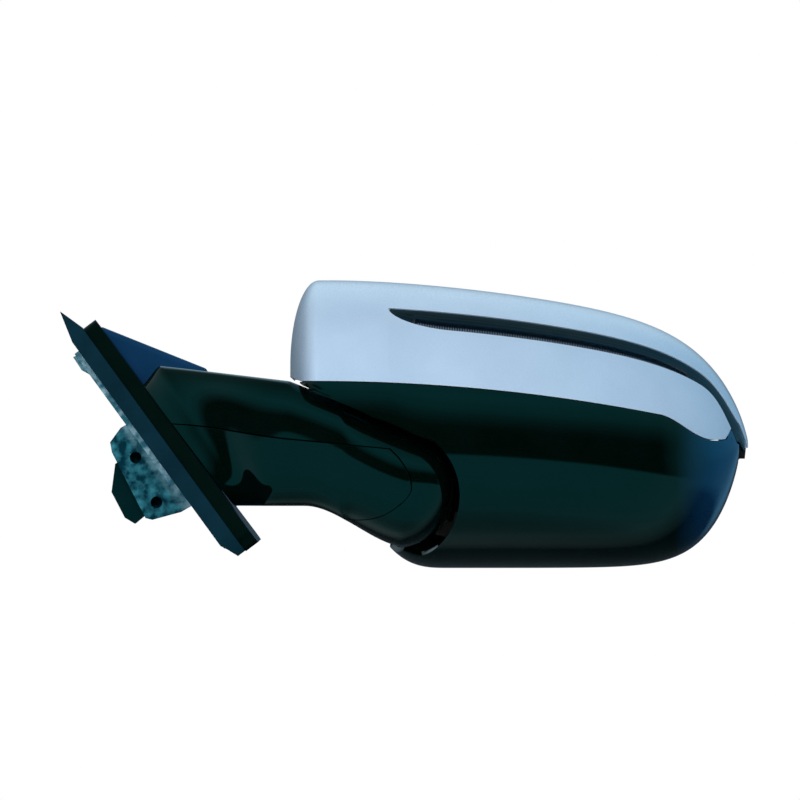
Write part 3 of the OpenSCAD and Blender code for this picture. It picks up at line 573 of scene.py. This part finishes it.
def paint(obj, *materials):
    obj.data.materials.clear()
    for m in materials:
        obj.data.materials.append(m)


# Directions of the zones (outboard, and square off the door), where they lie, and the tint of black gloss.
# The zones are painted light: reflections on cap, housing and sail, a highlight and shade on the casting.
OUTBOARD = (1, 0, 0)
DOOR_LEAN = 37
OFF_DOOR = (cosd(DOOR_LEAN), 0, sind(DOOR_LEAN))
CAP_TIP_REFLECTION, HOUSING_TIP_REFLECTION = (180, 325), (288, 322)
SAIL_FACE_REFLECTION, CAST_LIT_BAND, CAST_SHADED_PART = (17.2, 17.6), (-8, -1), (6, 14)
COOL = (0.08, 0.9, 1.0)
ARM_LEAN = -0.16
LENS_ALPHAS = [(0, 0.97), (0.62, 0.95), (0.72, 0.3), (1, 0.3)]
# Lens tones from its upper edge (0) to its lower (1); the lighter upper edge is a painted highlight.
LENS_TONES = [(0, srgb(26, 48, 66)), (0.07, srgb(6, 20, 30)), (0.3, srgb(3, 15, 22)),
              (0.36, srgb(16, 36, 44)), (0.42, srgb(4, 17, 26)), (0.55, srgb(15, 35, 48)),
              (0.62, srgb(6, 21, 34)), (1, srgb(14, 36, 56))]

# Cap lacquer; toward the tip it fades to a bluer copy of itself, a painted reflection.
CAP = finish_of("cap_lacquer", srgb(182, 210, 237), srgb(177, 205, 233),
                rough=0.28, grain=2500, bump=0.02, bump_mm=0.02, coat=0.25,
                zones=[(OUTBOARD, *CAP_TIP_REFLECTION, srgb(170, 208, 240), srgb(165, 203, 236))])
# Near-white paint for the cap's bevels: a painted highlight along its edges.
CAP_EDGE_HIGHLIGHT = finish_of("cap_edge", srgb(232, 245, 252), srgb(222, 238, 248),
                     rough=0.2, grain=2500, bump=0.02, bump_mm=0.02)
# Gloss black for the housing; toward its tip it fades to a blue copy, a painted reflection.
BLACK = finish_of("gloss_black", srgb(2, 11, 8), srgb(1, 8, 4),
                  rough=0.06, grain=900, bump=0.02, bump_mm=0.01, tint=COOL,
                  zones=[(OUTBOARD, *HOUSING_TIP_REFLECTION, srgb(14, 62, 106), srgb(12, 58, 98))])
ARM_BLACK = leaned(finish_of("arm_black", srgb(2, 11, 8), srgb(1, 8, 4),
                             rough=0.06, grain=900, bump=0.02, bump_mm=0.01, tint=COOL), ARM_LEAN)
LENS = graded(finish_of("smoked_lens", srgb(10, 28, 38), srgb(7, 22, 31),
                        rough=0.05, grain=900, bump=0.01, bump_mm=0.01, specular=0.15, tint=COOL),
              LENS_ALPHAS, LENS_TONES)
# Pale light guide; its dark stripes are painted shade between the ribs.
GUIDE = rib_shade_stripes(finish_of("clear_guide", srgb(216, 234, 250), srgb(190, 212, 236),
                         rough=0.2, grain=900, bump=0.05, bump_mm=0.02), RIB, srgb(30, 50, 76))
# Satin black; past the flange the sail's face fades to blue, a painted reflection.
SAIL = finish_of("sail_satin", srgb(2, 14, 10), srgb(1, 10, 6),
                 rough=0.35, grain=1500, bump=0.05, bump_mm=0.03, specular=0.1, tint=COOL,
                 zones=[(OFF_DOOR, *SAIL_FACE_REFLECTION, srgb(20, 58, 96), srgb(15, 52, 86))])
RUBBER = finish_of("gasket_rubber", srgb(10, 37, 54), srgb(6, 28, 42),
                   rough=0.7, grain=1200, bump=0.3, bump_mm=0.05, tint=COOL)
BEZEL = finish_of("bezel_grain", srgb(16, 20, 23), srgb(9, 12, 14),
                  rough=0.55, grain=2200, bump=0.4, bump_mm=0.06)
# Raw casting with a random mottle; off the door it fades to a lighter copy, a painted highlight, then to a
# darker copy, painted shade.
CAST = finish_of("raw_casting", srgb(60, 140, 158), srgb(5, 46, 60),
                 rough=0.55, grain=500, bump=0.35, bump_mm=0.15,
                 blotch=190, spread=(0.4, 0.74), specular=0.2, tint=COOL,
                 zones=[(OFF_DOOR, *CAST_LIT_BAND, srgb(180, 216, 232), srgb(52, 114, 134)),
                        (OFF_DOOR, *CAST_SHADED_PART, srgb(20, 54, 64), srgb(8, 34, 42))])
DARK = finish_of("glass_filled_black", srgb(30, 31, 33), srgb(20, 21, 23),
                 rough=0.6, grain=1500, bump=0.3, bump_mm=0.05)
PLUG = finish_of("connector_black", srgb(3, 25, 28), srgb(1, 18, 20),
                 rough=0.5, grain=1800, bump=0.3, bump_mm=0.04, tint=COOL)
STEEL = finish_of("zinc_steel", srgb(178, 182, 186), srgb(140, 144, 150),
                  rough=0.32, grain=900, bump=0.1, bump_mm=0.02, metallic=1.0)
SINTER = finish_of("sintered_steel", srgb(72, 74, 78), srgb(50, 52, 56),
                   rough=0.6, grain=900, bump=0.2, bump_mm=0.03, metallic=0.4)
WHITE = finish_of("natural_acetal", srgb(226, 226, 219), srgb(212, 212, 204),
                  rough=0.45, grain=900, bump=0.1, bump_mm=0.02)
BOARD = finish_of("solder_mask", srgb(26, 90, 52), srgb(18, 70, 40),
                  rough=0.4, grain=700, bump=0.1, bump_mm=0.02)
BRIGHT = finish_of("reflector_coat", srgb(214, 218, 222), srgb(198, 203, 208),
                   rough=0.15, grain=700, bump=0.05, bump_mm=0.02, metallic=1.0)
# Half metallic over a pale base: the pale diffuse half is a painted reflection.
MIRROR = finish_of("silvered_glass_painted_reflection", srgb(205, 214, 220), srgb(196, 207, 214),
                   rough=0.02, grain=200, bump=0.0, bump_mm=0.01, metallic=0.5)
FILM = finish_of("heater_film", srgb(150, 98, 48), srgb(120, 76, 36),
                 rough=0.5, grain=600, bump=0.1, bump_mm=0.02)
BRASS = finish_of("plated_tab", srgb(214, 192, 128), srgb(190, 165, 100),
                  rough=0.3, grain=700, bump=0.1, bump_mm=0.02, metallic=1.0)

# CAD pieces that stay as they are, with their finish.
for name, material in {
        "base_bracket": CAST, "door_gasket": RUBBER, "sail_cover": SAIL, "harness_connector": PLUG,
        "cover_screws": STEEL, "pivot_post": STEEL, "detent_ring": SINTER, "pivot_spring": STEEL,
        "spring_cup": STEEL, "spring_clip": STEEL, "head_frame": DARK, "signal_reflector": BRIGHT,
        "signal_board": BOARD, "fold_drive": DARK, "fold_motor": STEEL, "thrust_washer": WHITE,
        "actuator_case": DARK, "frame_screws": STEEL, "gimbal_ring": WHITE, "glass_holder": DARK,
        "heater_pad": FILM, "heater_terminals": BRASS, "tilt_plunger": WHITE, "pan_plunger": WHITE}.items():
    paint(nodes[name], material)

# Upper cap with its slit.
cap_x = columns((HEAD_X, LENS_X, ROOT_COLS, tight_start), (LENS_X, LENS_X + LENS_NOSE, NOSE_COLS, nose_start),
                (LENS_X + LENS_NOSE, TAIL_X, MAIN_COLS, even), (TAIL_X, CAP_END, TAIL_COLS, tight_end))
slit_col = ROOT_COLS
tail_col = ROOT_COLS + NOSE_COLS + MAIN_COLS


def cap_grid(off):
    rows = [lerp(TOP_PHI, lens_top(cap_x), r / UP_ROWS) for r in range(UP_ROWS + 1)]
    rows += [lerp(lens_low(cap_x), cap_edge(cap_x), r / LOW_ROWS) for r in range(LOW_ROWS + 1)]
    return np.stack([skin(cap_x, phi, off) for phi in rows])


def cap_cell(r, c):
    return r < UP_ROWS or (r == UP_ROWS and c < slit_col) or (r > UP_ROWS and c < tail_col)


cap = shell("cap_shell", cap_grid(0.0), cap_grid(WALL), cap_cell)
# The bevel faces take the second material, near white: a painted highlight along the cap's edges.
paint(piece(bevel(cap, width=0.7, slot=1), "head", "cap_paint", "upper_cap"), CAP, CAP_EDGE_HIGHLIGHT)


# Lower housing, cut back round the arm's end.
def house_top(x):
    return phi_of(x, skin_z(x, cap_edge(x)) - SEAM)


def pocket_edge(phi):
    """X at which the housing starts: the brow over the arm, the round pocket, then the foot below it."""
    z = skin_z(PIVOT_X, phi)
    brow_z = JOIN_Z + lerp(BROW_LOW, BROW_HIGH, clamp01((z - BROW_Z) / BROW_RUN)) * POCKET_GAP
    b = np.where(z > THUMB_Z, THUMB_UP + UP_GAP, THUMB_LOW + SIDE_GAP)
    g = np.sqrt(np.maximum(0, 1 - ((z - THUMB_Z) / b) ** 2))
    side = np.where(z > brow_z, np.maximum(BROW_X, JOIN_X - (z - brow_z) / BROW_SLOPE),
                    np.maximum(THROAT_X, PIVOT_X + (THUMB_A + SIDE_GAP) * g))
    foot = lerp(THROAT_X, FOOT_X, (FOOT_PHI - phi) / (FOOT_PHI - BOTTOM_PHI))
    return np.where(phi < FOOT_PHI, foot, side)


def house_grid(off):
    t = (np.arange(HOUSE_ROWS + 1) / HOUSE_ROWS)[:, None] ** ROW_BEND
    k = np.arange(HOUSE_COLS + 1)[None, :] / HOUSE_COLS
    edge = pocket_edge(lerp(house_top(np.array(PIVOT_X)), BOTTOM_PHI, t))
    x = lerp(edge, HOUSE_END, tight_ends(k))
    return skin(x, lerp(house_top(x), BOTTOM_PHI, t), off)


housing = shell("housing_shell", house_grid(0.0), house_grid(WALL))
paint(piece(bevel(housing, width=0.45), "head", "black_gloss", "lower_housing"), BLACK)


# Signal lens and the light guide behind it, with its moulded ribs.
def groove(x):
    return RIB_DEEP * (0.5 - 0.5 * np.cos(2 * np.pi * x / RIB))


def strip(name, xs, high, low, outer_off, inner_off, rows):
    """Strip of the head's skin between two shares of the lens's height, with the share across it kept."""
    a, b, g = lens_top(xs), lens_low(xs), gap_phi(xs, SEAM)
    top, base = lerp(a, b, high) - g, lerp(a, b, low) + g
    phis = [lerp(top, base, r / rows) for r in range(rows + 1)]
    outer = np.stack([skin(xs, phi, outer_off) for phi in phis])
    inner = np.stack([skin(xs, phi, inner_off) for phi in phis])
    over_guide = (xs > GUIDE_X) & (xs < GUIDE_END)
    share = np.arange(rows + 1)[:, None] / rows * np.where(over_guide, 1, OPAQUE_SHARE)
    return shell(name, outer, inner, across=share)


lens_xs = columns((LENS_X + LENS_START, LENS_X + LENS_NOSE, NOSE_STEPS, nose_start),
                  (LENS_X + LENS_NOSE, SWEEP_X, MAIN_STEPS, even), (SWEEP_X, LENS_END, SWEEP_STEPS, even))
lens = strip("lens_skin", lens_xs, 0, 1, LENS_SINK, LENS_SINK + LENS_T, rows=8)
paint(piece(bevel(lens, width=0.3), "head", "smoked_lens", "signal_lens"), LENS)
guide_xs = np.arange(GUIDE_X - GUIDE_PAST, GUIDE_END + GUIDE_PAST, RIB_STEP)
guide_off = LENS_SINK + LENS_T + GUIDE_GAP
guide = strip("guide_ribs", guide_xs, GUIDE_HIGH, GUIDE_LOW, guide_off + groove(guide_xs),
              guide_off + GUIDE_T, rows=6)
paint(piece(guide, "head", "clear_plastic", "light_guide"), GUIDE)


# Arm: the long cover with its round end, and the lower cover with its oval seam.
def seam_x(f):
    """X of the oval seam, from the arm's lowest line (0) up to the crease (1)."""
    f = clamp01(f)
    near = PIVOT_X - OVAL_FOOT + OVAL_OUT * sind(90 * f / OVAL_TURN)
    rest = np.maximum(0, (f - OVAL_TURN) / (1 - OVAL_TURN)) ** OVAL_POWER
    return np.where(f < OVAL_TURN, near, PIVOT_X - OVAL_HEAD + OVAL_REACH * (1 - smooth(rest)))


def split_x(r):
    mid = lerp(seam_x(0.0), seam_x(1.0), (r - SPLIT_ROW) / (ARM_ROUND - SPLIT_ROW))
    under_x = seam_x(1 - (r - ARM_ROUND) / ARM_UNDER)
    return np.where(r <= SPLIT_ROW, seam_x(0.0), np.where(r <= ARM_ROUND, mid, under_x))


def arm_col_x(r, k, g):
    s = split_x(r) - g
    root = lerp(ROOT_TOP_X, PROW_X, np.minimum(k, 1))
    body = lerp(PROW_X, s, (k - 1) / (ARM_SPLIT - 1))
    end = lerp(s, ARM_END, sind(90 * clamp01((k - ARM_SPLIT) / (ARM_COLS - ARM_SPLIT))))
    return np.where(k <= 1, root, np.where(k <= ARM_SPLIT, body, end))


def arm_phi(x, r, g):
    a = crease(x)
    return np.where(r <= ARM_ROUND, lerp(a, UNDER_PHI, r / ARM_ROUND),
                    lerp(UNDER_PHI + g, 360.0 + a - g, (r - ARM_ROUND) / ARM_UNDER))


def arm_grid(off, r0, r1, k1, g=0.0, g_phi=0.0):
    r = (np.arange(r0 * FINER, r1 * FINER + 1) / FINER)[:, None]
    k = (np.arange(0, k1 * FINER + 1) / FINER)[None, :]
    x = arm_col_x(r, k, g) + 0 * r
    phi = arm_phi(x, r, g_phi) + 0 * x
    if g_phi:
        phi[0] = UNDER_PHI + g_phi
    return arm_pt(x, phi, off)


def arm_cell(r, c):
    return r < ARM_ROUND * FINER or c >= ARM_SPLIT * FINER


def pivot_rod(name, radius, length, sides=64):
    a = np.arange(sides) * 2 * np.pi / sides
    ring = np.stack([radius * np.cos(a), radius * np.sin(a), 0 * a], -1)
    verts = np.concatenate([ring, ring + [0, 0, length]])
    faces = [(i, (i + 1) % sides, sides + (i + 1) % sides, sides + i) for i in range(sides)]
    faces += [tuple(range(sides - 1, -1, -1)), tuple(range(sides, 2 * sides))]
    obj = make_object(name, verts, faces)
    obj.data.transform(Matrix.Translation((PIVOT_X * MM, 0, PIVOT_Z * MM))
                       @ Matrix.Rotation(math.radians(FOLD_LEAN), 4, "Y"))
    return obj


arm_rows = ARM_ROUND + ARM_UNDER
arm_outer = arm_grid(0.0, 0, arm_rows, ARM_COLS)[:-1]
arm_inner = arm_grid(ARM_WALL, 0, arm_rows, ARM_COLS)[:-1]
arm = shell("arm_shell", arm_outer, arm_inner, arm_cell, wrap=True, pole=True)
cut(arm, pivot_rod("arm_hole", ARM_HOLE_R, ARM_HOLE_H))
paint(piece(bevel(arm, width=0.4), "base", "black_gloss", "arm_cover"), ARM_BLACK)
under = shell("arm_under_shell", arm_grid(0.0, ARM_ROUND, arm_rows, ARM_SPLIT, SEAM, UNDER_GAP),
              arm_grid(ARM_WALL, ARM_ROUND, arm_rows, ARM_SPLIT, SEAM, UNDER_GAP))
paint(piece(bevel(under, width=0.4), "base", "black_gloss", "arm_lower_cover"), ARM_BLACK)


# Rear bezel and glass.
def open_pt(t, grow):
    """Point (x, z) of the opening's edge at the angle t, grown outward."""
    high = OPEN_H * (1 - OPEN_TAPER * cosd(t))
    across, up = np.abs(cosd(t)) / OPEN_W, np.abs(sind(t)) / high
    full = (across ** OPEN_POWER + up ** OPEN_POWER) ** (1 / OPEN_POWER)
    corner = np.maximum(0, cosd(t - CUT_AT)) / (CUT_SHARE * OPEN_W)
    r = (full ** CUT_BLEND + corner ** CUT_BLEND) ** (-1 / CUT_BLEND) + grow
    return np.stack([GLASS_X + r * cosd(t), GLASS_Z + r * sind(t) - OPEN_LEAN * r * cosd(t)], -1)


def toe(t):
    p0, p1 = np.array([FOOT_X, bottom_z(FOOT_X)]), np.array([THROAT_X, TOE_Z])
    p2 = np.array([HEAD_X, edge_z(HEAD_X) + TOE_UP])
    return (1 - t) ** 2 * p0 + 2 * t * (1 - t) * p1 + t ** 2 * p2


def rim_line():
    x = lerp(HEAD_X, RIM_TOP_END, tight_ends(np.arange(RIM_TOP_N + 1) / RIM_TOP_N))
    top = np.stack([x, top_z(x)], -1)
    x = lerp(RIM_LOW_END, FOOT_X, tight_start(np.arange(RIM_LOW_N + 1) / RIM_LOW_N))
    low = np.stack([x, bottom_z(x)], -1)
    return np.concatenate([top, low, np.stack([toe(k / TOE_N) for k in range(1, TOE_N)])])


def at_y(line, y):
    return np.stack([line[:, 0], np.full(len(line), y), line[:, 1]], -1)


def rear_frame():
    o = rim_line()
    dx, dz = o[:, 0] - GLASS_X, o[:, 1] - GLASS_Z
    t = np.degrees(np.arctan2(dz + OPEN_LEAN * dx, dx)) % 360
    i, j = open_pt(t, 0), open_pt(t, SKIRT_T)
    steps = [(lerp(o, i, share), y) for share, y in BEZEL_PROFILE]
    steps += [(j, SKIRT_Y), (lerp(j, o, BEZEL_BACK), RIM_Y + FIT)]
    ring = np.stack([at_y(line, y) for line, y in steps], 1)
    n, m = ring.shape[:2]
    faces = [(k * m + s, k * m + (s + 1) % m, (k + 1) % n * m + (s + 1) % m, (k + 1) % n * m + s)
             for k in range(n) for s in range(m)]
    return make_object("bezel_frame", ring.reshape(-1, 3), faces, sharp=50)


def glass_plate():
    line = open_pt(np.arange(0, 360, GLASS_STEP), -GLASS_GAP - GLASS_INSET)
    n = len(line)
    verts = np.concatenate([at_y(line, GLASS_Y), at_y(line, GLASS_Y + GLASS_T)])
    faces = [(k, n + k, n + (k + 1) % n, (k + 1) % n) for k in range(n)]
    faces += [tuple(range(n)), tuple(range(2 * n - 1, n - 1, -1))]
    return make_object("glass_plate", verts, faces)


paint(piece(bevel(rear_frame(), width=0.5, angle=50), "head", "bezel_plastic", "rear_bezel"), BEZEL)
paint(piece(bevel(glass_plate(), width=0.6), "glass", "mirror", "mirror_glass"), MIRROR)

# Stage, in metres: a pale round floor well below the part, and three soft lamps.
FLOOR_X, FLOOR_Z, FLOOR_R, FLOOR_SIDES = 0.13, -0.55, 1.1, 96
LAMP_AIM = (0.19, 0, 0)

floor_mesh = bpy.data.meshes.new("floor")
turns = np.linspace(0, 2 * math.pi, FLOOR_SIDES, endpoint=False)
floor_ring = [(FLOOR_X + FLOOR_R * math.cos(a), FLOOR_R * math.sin(a), FLOOR_Z) for a in turns]
floor_mesh.from_pydata(floor_ring, [], [tuple(range(FLOOR_SIDES))])
floor = bpy.data.objects.new("floor", floor_mesh)
scene.collection.objects.link(floor)
floor.visible_glossy = False
paint(floor, finish_of("pale_floor", srgb(236, 238, 240), srgb(230, 232, 235),
                       rough=0.8, grain=60, bump=0.02, bump_mm=0.2))


def lamp(name, where, size, power):
    data = bpy.data.lights.new(name, "AREA")
    data.size, data.energy = size, power
    obj = bpy.data.objects.new(name, data)
    scene.collection.objects.link(obj)
    obj.location = where
    obj.rotation_euler = (Vector(LAMP_AIM) - Vector(where)).to_track_quat("-Z", "Y").to_euler()
    obj.visible_glossy = False


lamp("key", (-0.5, -1.5, 1.1), size=1.3, power=29)
lamp("fill", (1.2, -1.2, 0.2), size=1.0, power=2.5)
lamp("rear", (0.2, 1.5, 0.9), size=1.2, power=16)

# The room is dim in front, with a dark band at eye level that ends to the right. In reflections it is
# dark straight behind the part, and bright above and at the right. The camera sees white.
BAND_END, BEHIND, BEHIND_SHARE, RIGHT_SHARE = (0.85, 0.98), (0.6, 1, 0), (0.25, 0.6), (0.25, 0.5)

world = bpy.data.worlds.new("studio")
scene.world = world
world.use_nodes = True
w = world.node_tree
w.nodes.clear()
way = w.nodes.new("ShaderNodeTexCoord").outputs["Generated"]
axes = w.nodes.new("ShaderNodeSeparateXYZ")
w.links.new(way, axes.inputs["Vector"])
path = w.nodes.new("ShaderNodeLightPath")
height = mapped(w, axes.outputs["Z"], -1, 1)
band = ramp_of(w, height, greys([(0, 0.2), (0.05, 0.36), (0.2, 0.42), (0.38, 0.42), (0.39, 0.02),
                                 (0.5, 0.015), (0.58, 0.35), (0.65, 0.45), (0.8, 0.3), (1, 0.15)]))
plain = ramp_of(w, height, greys([(0, 0.2), (0.05, 0.36), (0.2, 0.42), (0.65, 0.45), (1, 0.15)]))
front = mixed(w, mapped(w, axes.outputs["X"], *BAND_END), band, plain)
back = ramp_of(w, height, greys([(0, 0.03), (0.4, 0.05), (0.56, 0.08), (0.64, 0.6), (0.72, 1), (1, 1)],
                                tint=(0.6, 0.85, 1)))
right = ramp_of(w, height, greys([(0, 0.03), (0.31, 0.03), (0.36, 0.5), (0.45, 0.55), (0.52, 1), (1, 1)],
                                 tint=(0.25, 0.65, 1)))
rear = mixed(w, mapped(w, axes.outputs["X"], *RIGHT_SHARE), back, right)
shiny = clamped(w, "ADD", path.outputs["Is Glossy Ray"], path.outputs["Is Transmission Ray"])
behind = clamped(w, "MULTIPLY", mapped(w, dotted(w, way, BEHIND), *BEHIND_SHARE), shiny)
room = mixed(w, behind, front, rear)
studio = w.nodes.new("ShaderNodeBackground")
output = w.nodes.new("ShaderNodeOutputWorld")
w.links.new(mixed(w, path.outputs["Is Camera Ray"], room, (1, 1, 1, 1)), studio.inputs["Color"])
w.links.new(studio.outputs["Background"], output.inputs["Surface"])

# Camera: level, from the front, with a long lens. PX is the size of a pixel of the photograph in metres,
# and the part's origin lies at ORIGIN_PX in it.
PX, FRAME_PX, ORIGIN_PX = 0.00054, 800, (142, 438)
SENSOR, FOCAL = 36, 420
camera = bpy.data.objects.new("camera", bpy.data.cameras.new("camera"))
scene.collection.objects.link(camera)
camera.data.sensor_width = SENSOR
camera.data.lens = FOCAL
away = FRAME_PX * PX * FOCAL / SENSOR
camera.location = ((FRAME_PX / 2 - ORIGIN_PX[0]) * PX, -away, (ORIGIN_PX[1] - FRAME_PX / 2) * PX)
camera.rotation_euler = (math.pi / 2, 0, 0)
camera.data.clip_start, camera.data.clip_end = 0.1, 50
scene.camera = camera
